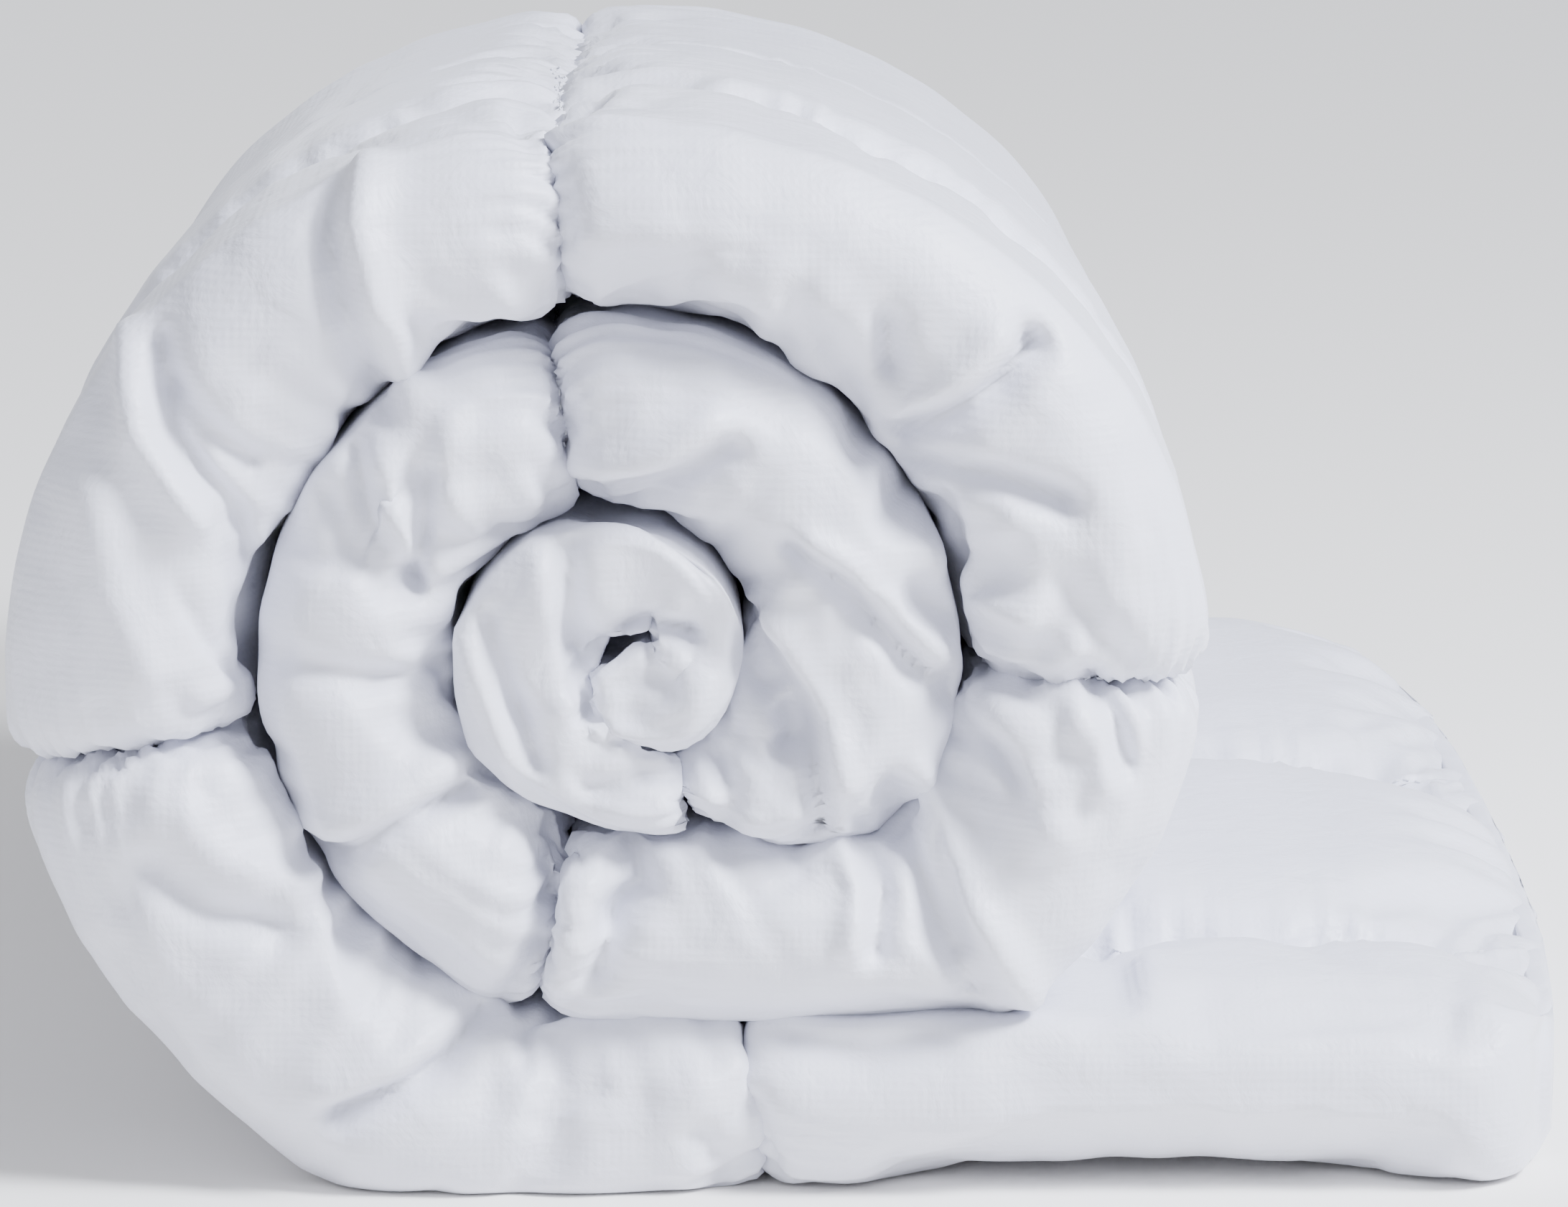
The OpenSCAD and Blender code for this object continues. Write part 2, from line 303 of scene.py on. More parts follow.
def in_frame(mid, across, y, n):
    """Millimetres in the strip's own terms to metres in the frame."""
    x = CX + mid[..., 0] + across[..., 0] * n
    z = CZ + mid[..., 1] + across[..., 1] * n
    return np.stack([x, y, z], -1) * MM


def grid_faces(rings, width):
    """Faces between rings of points, each ring closed."""
    faces = []
    for i in range(rings - 1):
        for j in range(width):
            k = (j + 1) % width
            faces.append((i * width + j, i * width + k, (i + 1) * width + k, (i + 1) * width + j))
    return faces


def build_row(row):
    """One row's open-ended tube, filled by cloth, and its rail."""
    rail = row_rail(row, SPACING)
    free = row == 1
    pulls = pillow(rail.s, rail.length, free)
    if row == 8:
        pulls = np.where(rail.s > rail.length / 2, 0, pulls)
    losses = np.clip(1 - (rail.s - TAPE + 2) / HEM, 0, 1) if free else 0 * rail.s
    rings, labels = [], None
    for i in range(len(rail.s)):
        pts, labels = cross_section(rail.half[i], pulls[i], losses[i], SEEN[row], RECESS[row])
        rings.append(in_frame(rail.mid[i], rail.across[i], pts[:, 0], pts[:, 1]))
    width = len(labels)
    verts = np.concatenate(rings)
    obj = new_object(f"row{row}_quilt", verts, grid_faces(len(rings), width))
    station = np.repeat(np.arange(len(rings)), width)
    label = np.tile(labels, len(rings))
    hold = np.isin(station, (0, len(rings) - 1)) | (label == 4)
    for face in (1, 2):
        if face != SEEN[row]:
            hold |= (label == face) & (verts[:, 1] / MM > NEAR + HELD_BACK)
        for seam in LONG_SEAMS:
            hold |= (label == face) & (abs(verts[:, 1] / MM - seam) < HELD_BESIDE)
    puff(obj, hold, rail, station, row)
    return obj, rail


def coordinates(obj):
    co = np.empty(len(obj.data.vertices) * 3)
    obj.data.vertices.foreach_get("co", co)
    return co.reshape(-1, 3)


def set_coordinates(obj, co):
    obj.data.vertices.foreach_set("co", co.ravel())
    obj.data.update()


def puff(obj, hold, rail, station, row):
    """Fills the row by a cloth simulation with pressure, in fabric cut a little too large."""
    rest = coordinates(obj)
    group = obj.vertex_groups.new(name="sewn")
    group.add([int(i) for i in np.flatnonzero(hold)], 1.0, "REPLACE")
    cloth = obj.modifiers.new("Cloth", "CLOTH")
    s = cloth.settings
    s.quality = 4
    s.mass = 0.15
    s.tension_stiffness = s.compression_stiffness = 18
    s.shear_stiffness = 6
    s.bending_stiffness = 0.25
    s.shrink_min = -0.10
    s.use_pressure = True
    s.uniform_pressure_force = 4.0
    s.vertex_group_mass = "sewn"
    s.effector_weights.gravity = 0
    cloth.collision_settings.use_collision = False
    for step in range(1, FRAMES + 1):
        bpy.context.scene.frame_set(step)
    evaluated = obj.evaluated_get(bpy.context.evaluated_depsgraph_get())
    co = np.empty(len(rest) * 3)
    evaluated.to_mesh().vertices.foreach_get("co", co)
    evaluated.to_mesh_clear()
    obj.modifiers.clear()
    move = co.reshape(-1, 3) - rest
    move[~np.isfinite(move).all(axis=1)] = 0
    size = np.linalg.norm(move, axis=1, keepdims=True)
    move *= np.minimum(1, CAP * MM / np.maximum(size, 1e-9))
    co = rest + move
    keep_in_layer(co, rail, station, row)
    set_coordinates(obj, co)


def keep_in_layer(co, rail, station, row):
    """Keeps the cloth within a few millimetres of its row's layer, and above the surface."""
    flat = co[:, [0, 2]] / MM - np.array([CX, CZ])
    n = np.sum((flat - rail.mid[station]) * rail.across[station], axis=1)
    limit_out = rail.half[station] + (PROUD if row <= 4 else PROUD_HIDDEN)
    limit_in = rail.half[station] + PROUD_HIDDEN
    if row == 1:
        limit_in = rail.half[station] + np.where(rail.mid[station][:, 0] > BEND_X + 25, 9, 0.5)
        limit_out = rail.half[station]
    change = np.clip(n, -limit_in, limit_out) - n
    flat += rail.across[station] * change[:, None]
    co[:, 0] = (flat[:, 0] + CX) * MM
    co[:, 2] = np.maximum((flat[:, 1] + CZ) * MM, 0.0004)
    co[:, 1] = np.clip(co[:, 1], (NEAR - 7) * MM, FAR * MM)


def subdivide(obj):
    """Subdivides a tube once, then closes its ends, which is slow to do the other way round."""
    mod = obj.modifiers.new("Subdivision", "SUBSURF")
    mod.levels = 1
    evaluated = obj.evaluated_get(bpy.context.evaluated_depsgraph_get())
    mesh = bpy.data.meshes.new_from_object(evaluated)
    obj.modifiers.clear()
    old, name = obj.data, obj.data.name
    obj.data = mesh
    bpy.data.meshes.remove(old)
    mesh.name = name
    close_ends(mesh)
    for polygon in mesh.polygons:
        polygon.use_smooth = True


def close_ends(mesh):
    bm = bmesh.new()
    bm.from_mesh(mesh)
    bm.edges.ensure_lookup_table()
    made = bmesh.ops.holes_fill(bm, edges=[e for e in bm.edges if e.is_boundary], sides=0)
    bmesh.ops.triangulate(bm, faces=made["faces"])
    bmesh.ops.recalc_face_normals(bm, faces=bm.faces)
    bm.to_mesh(mesh)
    bm.free()


# ------------------------------------------------------------------ folds and creases
# Each is a polyline on the rolled end, in millimetres from the roll's centre (right, up), with
# its half width and its height: above 0 a ridge that stands out, below 0 a crease. The heights
# are then scaled by RIDGE_GAIN and CREASE_GAIN.
FOLDS = [
    ([(-86, 172), (-90, 151), (-85, 125), (-73, 88)], 5.0, -7.0),
    ([(-78, 166), (-81, 150), (-76, 126), (-66, 96)], 8.0, 5.0),
    ([(-154, 112), (-151, 83), (-134, 56)], 6.0, 5.0),
    ([(-145, 112), (-141, 84), (-122, 56), (-118, 36)], 4.5, -5.5),
    ([(-140, 98), (-128, 84), (-116, 72)], 4.0, -4.0),
    ([(-166, 62), (-160, 30), (-150, 6)], 9.0, 3.5),
    ([(-90, -145), (-72, -138), (-56, -130), (-44, -117)], 4.5, -8.0),
    ([(-92, -137), (-70, -129), (-52, -120)], 7.0, 3.5),
    ([(-150, -62), (-132, -76), (-110, -82)], 6.0, -3.5),
    ([(-140, -42), (-126, -60), (-104, -70)], 7.0, 3.0),
    ([(96, 80), (112, 88), (127, 99), (137, 112)], 5.0, -9.0),
    ([(98, 90), (114, 99), (127, 112)], 8.0, 4.5),
    ([(96, 70), (114, 70), (131, 67), (149, 60)], 4.5, -6.0),
    ([(91, 119), (92, 104)], 4.5, -6.0),
    ([(100, 24), (118, 14), (140, 10)], 6.0, -4.0),
    ([(104, 40), (120, 26), (136, 20)], 6.0, 3.5),
    ([(150, 32), (160, 16), (172, 6)], 7.0, -3.5),
    ([(150, -2), (158, -18), (162, -34)], 6.0, 4.0),
    ([(158, 0), (166, -16), (171, -30)], 4.0, -3.5),
    ([(112, -10), (128, -26), (135, -34)], 3.5, -6.0),
    ([(118, -6), (134, -16), (142, -34), (146, -50)], 8.0, 4.0),
    ([(100, -34), (110, -54), (119, -73), (130, -92), (137, -105)], 6.0, 6.0),
    ([(94, -38), (95, -56)], 5.0, -9.0),
    ([(92, -40), (100, -60), (108, -82), (120, -104)], 3.5, -5.0),
    ([(82, -50), (90, -73), (87, -90)], 4.0, -5.0),
    ([(74, -58), (82, -72), (80, -88)], 5.0, 4.0),
    ([(104, -46), (114, -66), (118, -88)], 4.0, -4.0),
    ([(-100, -58), (-88, -60), (-78, -53), (-62, -44), (-47, -38)], 3.2, -6.0),
    ([(-98, -50), (-80, -44), (-60, -34), (-50, -28)], 7.0, 3.5),
    ([(-104, 6), (-80, 2), (-57, -3)], 5.0, -3.5),
    ([(-20, -54), (-21, -66), (-20, -77)], 4.0, -9.0),
    ([(7, -59), (10, -71), (2, -79)], 5.0, -9.0),
    ([(-8, -62), (-9, -84), (-14, -106)], 6.0, 5.0),
    ([(0, -80), (-4, -96), (-12, -110)], 4.0, -5.0),
    ([(-22, -92), (-30, -104), (-36, -113)], 3.5, -6.0),
    ([(39, 78), (30, 72), (22, 67), (-3, 60)], 4.5, -6.0),
    ([(34, 84), (18, 76), (-6, 70)], 7.0, 4.5),
    ([(60, 44), (74, 34), (86, 20), (100, 4), (112, -5)], 3.5, -6.0),
    ([(66, 46), (82, 36), (96, 20), (108, 6)], 5.0, 4.0),
    ([(48, 15), (56, 2), (64, -10), (69, -36), (70, -52)], 4.0, -6.5),
    ([(54, 18), (64, 4), (73, -14), (76, -34)], 6.0, 4.0),
    ([(-73, 71), (-70, 58), (-67, 42)], 6.0, 4.5),
    ([(-82, 76), (-80, 60), (-74, 44), (-62, 30)], 3.5, -5.0),
    ([(-58, 67), (-61, 49), (-64, 32)], 3.5, -5.5),
    ([(-50, 84), (-54, 66), (-44, 50)], 6.0, 3.5),
    ([(-92, 60), (-84, 46), (-72, 30)], 5.0, -3.0),
    ([(-14, 43), (-13, 14), (-8, -10)], 5.0, -5.0),
    ([(-20, 40), (-20, 16), (-14, -10)], 6.0, 3.5),
    ([(-40, 19), (-33, -3), (-24, -28)], 4.5, -4.5),
    ([(-46, 14), (-40, -6), (-32, -26)], 5.0, 2.5),
    ([(-6, -38), (10, -34), (22, -33)], 5.0, -3.0),
    ([(47, 9), (48, 2), (52, -4)], 4.5, -13.0),
    ([(58, -14), (62, -20), (58, -24)], 4.0, -9.0),
    ([(5, 15), (12, 18), (27, 14)], 3.0, -6.0),
    ([(24, 6), (30, -6), (26, -18)], 5.0, 2.0),
    ([(36, -30), (40, -42), (38, -52)], 4.0, -3.5),
    ([(-2, 150), (30, 143), (60, 128)], 16.0, 3.0),
    ([(8, 122), (34, 122), (60, 108)], 7.0, -3.0),
    ([(60, 128), (70, 108), (76, 98)], 7.0, -3.5),
    ([(30, -140), (70, -146), (120, -140)], 14.0, 2.5),
    ([(60, -122), (84, -126), (108, -121)], 5.0, -3.0),
    ([(30, -152), (38, -160), (36, -168)], 5.0, -3.0),
]
REACH_BACK = 52.0      # how far behind the folded edge the folds fade out
RIDGE_GAIN, CREASE_GAIN = 1.7, 2.3
HIGHEST, DEEPEST = 9, -18          # limits of all folds at a point taken together
RIPPLE = 0.9           # height of the fine ripples
PUCKER = 2.2           # height of the gathers beside a cross seam
PUCKER_REACH = 24      # how far from the seam they fade
LONG_PUCKER = 1.6      # height of the gathers beside a lengthwise seam
LONG_REACH = 17        # how far from the seam they fade
ROW1_PUCKER = 1.6      # how many times as high these are on the tail
CRUSH = 1.2            # height of the folds where the fold's inner side is crushed by rolling
FOLD_ZONE = 70         # how far behind the fold the crushed folds and relax reach
EASING = 0.6           # share of a sharp step that relax takes away
UNEASED = 3.5          # how near a cross seam it leaves the surface alone
# The free end's outline from above, in millimetres
END_Y = [NEAR + d for d in (0, 12, 28, 50, 100, 167, 262, 380, 475, 560, 630, 675)]
END_X = [RIGHT + d for d in (-9, -8, -6, -2, 2, 7, 9, 9, 7, 1, -9, -20)]
SAG = 0.125            # share of its height above the lowest layer that the bound end loses
SAG_START, SAG_LENGTH = 100, 550   # how far from the fold it starts, and over what length it grows
FLATTEN, FLATTEN_HEIGHT = 0.75, 14   # how much the floor flattens the fold, and up to where


def distance_to(points, line):
    """From each point to a polyline."""
    best = np.full(len(points), 1e9)
    for a, b in zip(line[:-1], line[1:]):
        a, b = np.array(a, float), np.array(b, float)
        t = np.clip(((points - a) @ (b - a)) / ((b - a) @ (b - a)), 0, 1)
        best = np.minimum(best, np.linalg.norm(points - a - t[:, None] * (b - a), axis=1))
    return best


def wrinkle(points):
    """Fine uneven ripples, the same each run: a few sines that run across each other."""
    x, y, z = points.T
    bend = 0.35 * np.sin(x / 23 + 1.3) + 0.3 * np.sin(z / 31 + y / 47)
    return (0.45 * np.sin(x / 7.3 + z / 19 + 4 * bend) * np.sin(z / 13 - x / 41 + 2 * bend)
            + 0.30 * np.sin(z / 6.1 - x / 17 + 5 * bend + 0.7) * np.sin(x / 23 + z / 29))


def ripple(t, seed):
    """Uneven waves along a seam, about 14 mm apart."""
    return (np.sin(t / 2.3 + 1.7 * np.sin(t / 9.1 + seed)) * (0.6 + 0.4 * np.sin(t / 14.7 + 2 * seed))
            + 0.5 * np.sin(t / 1.37 + seed) * np.sin(t / 21.0 + seed))


def strip_place(co, rail):
    """Nearest station, distance across the strip and length along it, for each point."""
    flat = co[:, [0, 2]] / MM - np.array([CX, CZ])
    nearest = np.empty(len(flat), int)
    for i in range(0, len(flat), 4000):
        gap = flat[i:i + 4000, None] - rail.mid[None]
        nearest[i:i + 4000] = np.argmin(np.sum(gap * gap, axis=2), axis=1)
    n = np.sum((flat - rail.mid[nearest]) * rail.across[nearest], axis=1)
    forward = np.stack([rail.across[nearest][:, 1], -rail.across[nearest][:, 0]], -1)
    s = rail.s[nearest] + np.sum((flat - rail.mid[nearest]) * forward, axis=1) * rail.turn
    return nearest, n, s


def pucker(y, n, s, half, rail, row):
    """How far the gathered fabric beside the seams stands out, in millimetres."""
    lift = 0 * s
    round_fold = y + n
    if row > 1:
        lift += ripple(round_fold, row) * np.exp(-np.maximum(s, 0) / PUCKER_REACH)
    to_end = np.maximum(rail.length - s, 0)
    lift += ripple(round_fold + 31, row + 5) * np.exp(-to_end / PUCKER_REACH)
    lift *= PUCKER
    inner = smooth(0.5 - 0.5 * n / half) * (1 - smooth((y - NEAR) / FOLD_ZONE))
    lift += CRUSH * inner * ripple(0.62 * s + 0.12 * n, row + 11) * (row > 1)
    if SEEN[row]:
        shows = n * (1 if SEEN[row] == 1 else -1) > 0
        for seam in LONG_SEAMS:
            d = np.abs(y - seam)
            height = LONG_PUCKER * (ROW1_PUCKER if row == 1 else 1)
            lift += shows * height * ripple(s, seam) * np.exp(-d / LONG_REACH) * np.minimum(1, d / 3)
    return lift


def settle(co):
    """The free end bows outwards, with a rounded near corner, and the bound end of the roll,
    which is thinner than the folded one, sags. The fold lies flat on the floor."""
    x, y = co[:, 0] / MM, co[:, 1] / MM
    start = CX + BEND_X
    share = smooth((x - start) / (RIGHT - start))
    bow = np.interp(y, END_Y, END_X) - RIGHT
    co = co.copy()
    co[:, 0] += bow * share * MM
    high = np.maximum(0, co[:, 2] / MM - LAYER)
    co[:, 2] -= SAG * high * smooth((y - NEAR - SAG_START) / SAG_LENGTH) * MM
    z = co[:, 2] / MM
    near_fold = 1 - smooth((y - NEAR - 60) / 60)
    co[:, 2] -= FLATTEN * z * np.exp(-(z / FLATTEN_HEIGHT) ** 2) * near_fold * MM
    return co


def relax(mesh, co, weight):
    """Evens out a surface where weight is above 0, as cloth does over a sharp step."""
    pairs = np.empty(len(mesh.edges) * 2, int)
    mesh.edges.foreach_get("vertices", pairs)
    a, b = pairs.reshape(-1, 2).T
    count = np.bincount(a, minlength=len(co)) + np.bincount(b, minlength=len(co))
    mean = np.stack([np.bincount(a, co[b, k], len(co)) + np.bincount(b, co[a, k], len(co))
                     for k in range(3)], -1) / count[:, None]
    co += EASING * weight[:, None] * (mean - co)


def press_folds(obj, rail, row):
    """Creases the rolled end, gathers the fabric beside the seams, and settles the row."""
    mesh = obj.data
    co = coordinates(obj)
    normals = np.empty(len(co) * 3)
    mesh.vertices.foreach_get("normal", normals)
    normals = normals.reshape(-1, 3)
    flat = co[:, [0, 2]] / MM - np.array([CX, CZ])
    back = co[:, 1] / MM - NEAR
    fade = 1 - smooth(back / REACH_BACK)
    lift = 0 * fade
    for line, width, height in FOLDS:
        sharp = 1.7 if height < 0 else 2.0
        lift += height * np.exp(-(distance_to(flat, line) / width) ** sharp)
    lift = np.clip(np.where(lift < 0, CREASE_GAIN, RIDGE_GAIN) * lift, DEEPEST, HIGHEST) * fade
    stands_out = np.maximum(lift, 0) + RIPPLE * wrinkle(co / MM)
    nearest, n, s = strip_place(co, rail)
    stands_out += pucker(co[:, 1] / MM, n, s, rail.half[nearest], rail, row)
    move = normals * stands_out[:, None]
    move[:, 1] += np.maximum(-lift, 0)
    co += move * MM
    between_seams = (s > UNEASED) * (s < rail.length - UNEASED)
    relax(mesh, co, (1 - smooth(back / FOLD_ZONE)) * between_seams)
    co[:, 2] = np.maximum(co[:, 2], 0.0003)
    set_coordinates(obj, settle(co))


# ------------------------------------------------------------------ materials
WEAVE = 0.00045        # the weave's wavelength over 2 pi, in metres


def new_material(name, colour, roughness, sheen):
    material = bpy.data.materials.new(name)
    material.use_nodes = True
    tree = material.node_tree
    shader = tree.nodes["Principled BSDF"]
    shader.inputs["Base Color"].default_value = (*colour, 1)
    shader.inputs["Roughness"].default_value = roughness
    shader.inputs["Sheen Weight"].default_value = sheen
    shader.inputs["Sheen Roughness"].default_value = 0.45
    shader.inputs["Specular IOR Level"].default_value = 0.35
    return material, tree, shader


def node(tree, kind, **values):
    """A new shader node, with its inputs and settings filled in by name."""
    n = tree.nodes.new(kind)
    for key, value in values.items():
        if key in n.inputs:
            n.inputs[key].default_value = value
        else:
            setattr(n, key, value)
    return n


def cotton(name, colour, shade, roughness, sheen=0.25):
    """White cotton: a woven pattern, soft small creases, faint unevenness."""
    material, tree, shader = new_material(name, colour, roughness, sheen)
    link = tree.links.new
    where = node(tree, "ShaderNodeTexCoord")
    uneven = node(tree, "ShaderNodeTexNoise", Scale=9.0, Detail=4.0)
    link(where.outputs["Object"], uneven.inputs["Vector"])
    ramp = node(tree, "ShaderNodeValToRGB")
    ramp.color_ramp.elements[0].position = 0.35
    ramp.color_ramp.elements[0].color = (*shade, 1)
    ramp.color_ramp.elements[1].position = 0.65
    ramp.color_ramp.elements[1].color = (*colour, 1)
    link(uneven.outputs["Fac"], ramp.inputs["Fac"])
    link(ramp.outputs["Color"], shader.inputs["Base Color"])
    crumple = node(tree, "ShaderNodeTexNoise", Scale=55.0, Detail=6.0, Roughness=0.55)
    crumple.inputs["Distortion"].default_value = 0.6
    link(where.outputs["Object"], crumple.inputs["Vector"])
    threads = []
    for axis in ("X", "Y", "Z"):
        wave = node(tree, "ShaderNodeTexWave", Scale=1 / WEAVE / 20, bands_direction=axis)
        link(where.outputs["Object"], wave.inputs["Vector"])
        threads.append(wave)
    cross = node(tree, "ShaderNodeMath", operation="MULTIPLY")
    link(threads[0].outputs["Fac"], cross.inputs[0])
    link(threads[1].outputs["Fac"], cross.inputs[1])
    plain = node(tree, "ShaderNodeMath", operation="ADD")
    link(cross.outputs[0], plain.inputs[0])
    link(threads[2].outputs["Fac"], plain.inputs[1])
    fine = node(tree, "ShaderNodeBump", Strength=0.35, Distance=0.00015)
    link(plain.outputs[0], fine.inputs["Height"])
    soft = node(tree, "ShaderNodeBump", Strength=0.5, Distance=0.0025)
    link(crumple.outputs["Fac"], soft.inputs["Height"])
    link(fine.outputs["Normal"], soft.inputs["Normal"])
    link(soft.outputs["Normal"], shader.inputs["Normal"])
    return material


COVER = cotton("cover_cotton", (0.765, 0.77, 0.85), (0.735, 0.74, 0.825), roughness=0.44)
EDGE = cotton("binding_cotton", (0.75, 0.755, 0.83), (0.71, 0.715, 0.80), roughness=0.6)
LABEL = cotton("label_satin", (0.82, 0.82, 0.82), (0.79, 0.79, 0.79), roughness=0.35, sheen=0.4)
THREAD = cotton("sewing_thread", (0.74, 0.75, 0.80), (0.70, 0.71, 0.76), roughness=0.6)


def dress(obj, material):
    """Gives a piece its one material."""
    obj.data.materials.clear()
    obj.data.materials.append(material)


# ------------------------------------------------------------------ the rows
def point(rail, index, n=0.0, y=0.0):
    return tuple(in_frame(rail.mid[index], rail.across[index], y, n))


ROW_NODES = {
    1: ["tail_cover", "tail_lining", "tail_filling", "lead_cover", "lead_lining", "lead_filling"],
    **{k: [f"row{k}_{part}" for part in ("cover", "lining", "filling")] for k in range(2, 9)},
}


def join_body(obj, row):
    """Rows 2 to 5 ride on the outer body and row 7 on the coil; rows 1, 6 and 8 are baked in place
    and ride on no body.
    """
    if row == 1:
        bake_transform(obj)
    elif row == 6:
        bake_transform(obj)
    elif row == 7:
        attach(obj, "coil")
    elif row == 8:
        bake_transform(obj)
    else:
        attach(obj, "outer")


rails, rows = {}, {}
for k in range(1, 9):
    rows[k], rails[k] = build_row(k)
    subdivide(rows[k])
    press_folds(rows[k], rails[k], k)
    dress(rows[k], COVER)
    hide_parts(*ROW_NODES[k])
    join_body(rows[k], k)
bpy.context.scene.frame_set(1)


# ------------------------------------------------------------------ bound edges
BOUND_T = 2.8          # half thickness of the binding over a thinned ply


def tape_profile():
    """Round-edged tape folded over an edge: (distance to the edge, offset) round its outline."""
    turn = np.radians(np.linspace(-90, 90, 9))
    nose = [(BOUND_T * (1 - math.cos(t)), BOUND_T * math.sin(t)) for t in turn]
    rim = BOUND_T * 0.72
    return np.array([(TAPE + 0.6, -rim), (TAPE * 0.9, -BOUND_T)] + nose
                    + [(TAPE * 0.9, BOUND_T), (TAPE + 0.6, rim)])


def sweep(name, rings):
    """Closed tube through rings of points, in metres."""
    width = len(rings[0])
    verts = settle(np.concatenate(rings))
    faces = grid_faces(len(rings), width)
    faces += [tuple(range(width)), tuple(range(len(verts) - width, len(verts)))]
    obj = new_object(name, verts, faces)
    for polygon in obj.data.polygons:
        polygon.use_smooth = True
    return obj


def side_tapes(row, rail):
    """The binding of both plies' far edges along one row, as one piece."""
    pulls = pillow(rail.s, rail.length, row == 1)
    ply = (rail.half - SEAM_DEPTH * pulls) / 2
    profile = tape_profile()
    halves = []
    for side in (-1, 1):
        rings = []
        for i in range(len(rail.s)):
            wave = 0.35 * math.sin(rail.s[i] / 5.3 + row + side)
            rings.append(in_frame(rail.mid[i], rail.across[i], FAR - profile[:, 0],
                                  side * ply[i] + profile[:, 1] + wave))
        halves.append(sweep(f"row{row}_tape_half", rings))
    return join(halves, f"row{row}_edge_tape")


def join(parts, name):
    """Makes one object of several, without changing their faces."""
    bm = bmesh.new()
    for part in parts:
        bm.from_mesh(part.data)
    mesh = parts[0].data
    bm.to_mesh(mesh)
    bm.free()
    for part in parts[1:]:
        bpy.data.objects.remove(part)
    for polygon in mesh.polygons:
        polygon.use_smooth = True
    parts[0].name = mesh.name = name
    return parts[0]


def free_end_tape(rail):
    """The binding round the free end: out along the lower ply, round the fold, and back."""
    half = rail.half[0]
    ply = half / 2
    depth = min(EDGE_DEPTH, half * EDGE_SHARE) * (1 - END_LOSS)
    top = ply + HEM_T
    near = NEAR + CORNER
    path = [(y, -ply) for y in np.linspace(FAR - 1, near + depth, 90)]
    for t in np.radians(np.linspace(-84, 84, 19)):
        cosine, sine = math.cos(t), math.sin(t)
        path.append((near + HEM_T + (depth - HEM_T) * (1 - cosine ** FOLD_Y),
                     (top - HEM_T) * math.copysign(abs(sine) ** FOLD_N, sine)))
    path += [(y, ply) for y in np.linspace(near + depth, FAR - 1, 90)]
    path = np.array(path)
    sunk = 1 - smooth((path[:, 0] - near - 4) / 40)
    along = unit(np.gradient(path, axis=0))
    normal = np.stack([along[:, 1], -along[:, 0]], -1)
    profile = tape_profile()
    rings = []
    for (y, n), (ny, nn), deep in zip(path, normal, sunk):
        wave = 0.3 * math.sin(y / 5.1) + 0.25 * math.sin(y / 17.0)
        v = (profile[:, 1] + wave) * (1 - 0.55 * deep)
        x = RIGHT + 0.6 - profile[:, 0] - 7 * deep
        rings.append(np.stack([x, y + ny * v, CZ + rail.mid[0][1] + n + nn * v], -1) * MM)
    return sweep("free_end_tape", rings)


# ------------------------------------------------------------------ sewing
STITCH, STEP = 3.0, 4.2          # length of a stitch and from one to the next
THREAD_R = 0.42                  # the thread's radius
RISE = 0.2                       # how far a stitch's middle rises and its ends sink
SEARCH, CROSS_SEARCH = 16.0, 12.0   # how far from its path a stitch may find the surface
LONG_SINK = 8                    # how far below the row's full height lengthwise stitches are laid
FIRST_STATION = {1: 4, 8: 9}     # where lengthwise stitches start, if not at station 1


def surface_of(obj):
    verts = [tuple(v) for v in coordinates(obj)]
    return BVHTree.FromPolygons(verts, [tuple(p.vertices) for p in obj.data.polygons])


def sewn_run(path, tree, search):
    """Stitches along a path in metres, laid on the nearest surface: (place, along, up)."""
    path = np.array(path)
    length = np.r_[0, np.cumsum(np.linalg.norm(np.diff(path, axis=0), axis=1))]
    at = np.arange(STEP / 2 * MM, length[-1], STEP * MM)
    spots = np.stack([np.interp(at, length, path[:, i]) for i in range(3)], -1)
    found = []
    for spot in spots:
        place, normal, _, _ = tree.find_nearest(Vector(spot), search * MM)
        if place is not None:
            found.append((np.array(place), np.array(normal)))
    made = []
    for i, (place, up) in enumerate(found):
        ahead = found[min(i + 1, len(found) - 1)][0] - found[max(i - 1, 0)][0]
        ahead = ahead - up * (ahead @ up)
        if np.linalg.norm(ahead) > 1e-6:
            made.append((place, ahead / np.linalg.norm(ahead), up))
    return made


def stitches(name, runs):
    """One mesh of short round stitches, each partly sunk into the fabric."""
    verts, faces = [], []
    for place, along, up in runs:
        side = np.cross(along, up)
        base = len(verts)
        verts.append(place - along * STITCH / 2 * MM - up * RISE * MM)
        for share in (-0.3, 0.3):
            for k in range(6):
                t = math.radians(60 * k)
                verts.append(place + along * share * STITCH * MM
                             + side * THREAD_R * math.cos(t) * MM
                             + up * (RISE + THREAD_R * math.sin(t)) * MM)
        verts.append(place + along * STITCH / 2 * MM - up * RISE * MM)
        for k in range(6):
            n = (k + 1) % 6
            faces.append((base, base + 1 + n, base + 1 + k))
            faces.append((base + 1 + k, base + 1 + n, base + 7 + n, base + 7 + k))
            faces.append((base + 13, base + 7 + k, base + 7 + n))
    obj = new_object(name, verts, faces)
    for polygon in obj.data.polygons:
        polygon.use_smooth = True
    return obj


def long_seam_runs(row, rail, tree):
    """Stitches along both lengthwise seams of a row, on its face that shows."""
    side = -1 if SEEN[row] == 2 else 1
    stations = range(FIRST_STATION.get(row, 1), len(rail.s) - 1)
    runs = []
    for y in LONG_SEAMS:
        path = [point(rail, i, side * (rail.half[i] - LONG_SINK), y) for i in stations]
        runs += sewn_run(settle(np.array(path)), tree, SEARCH)
    return runs


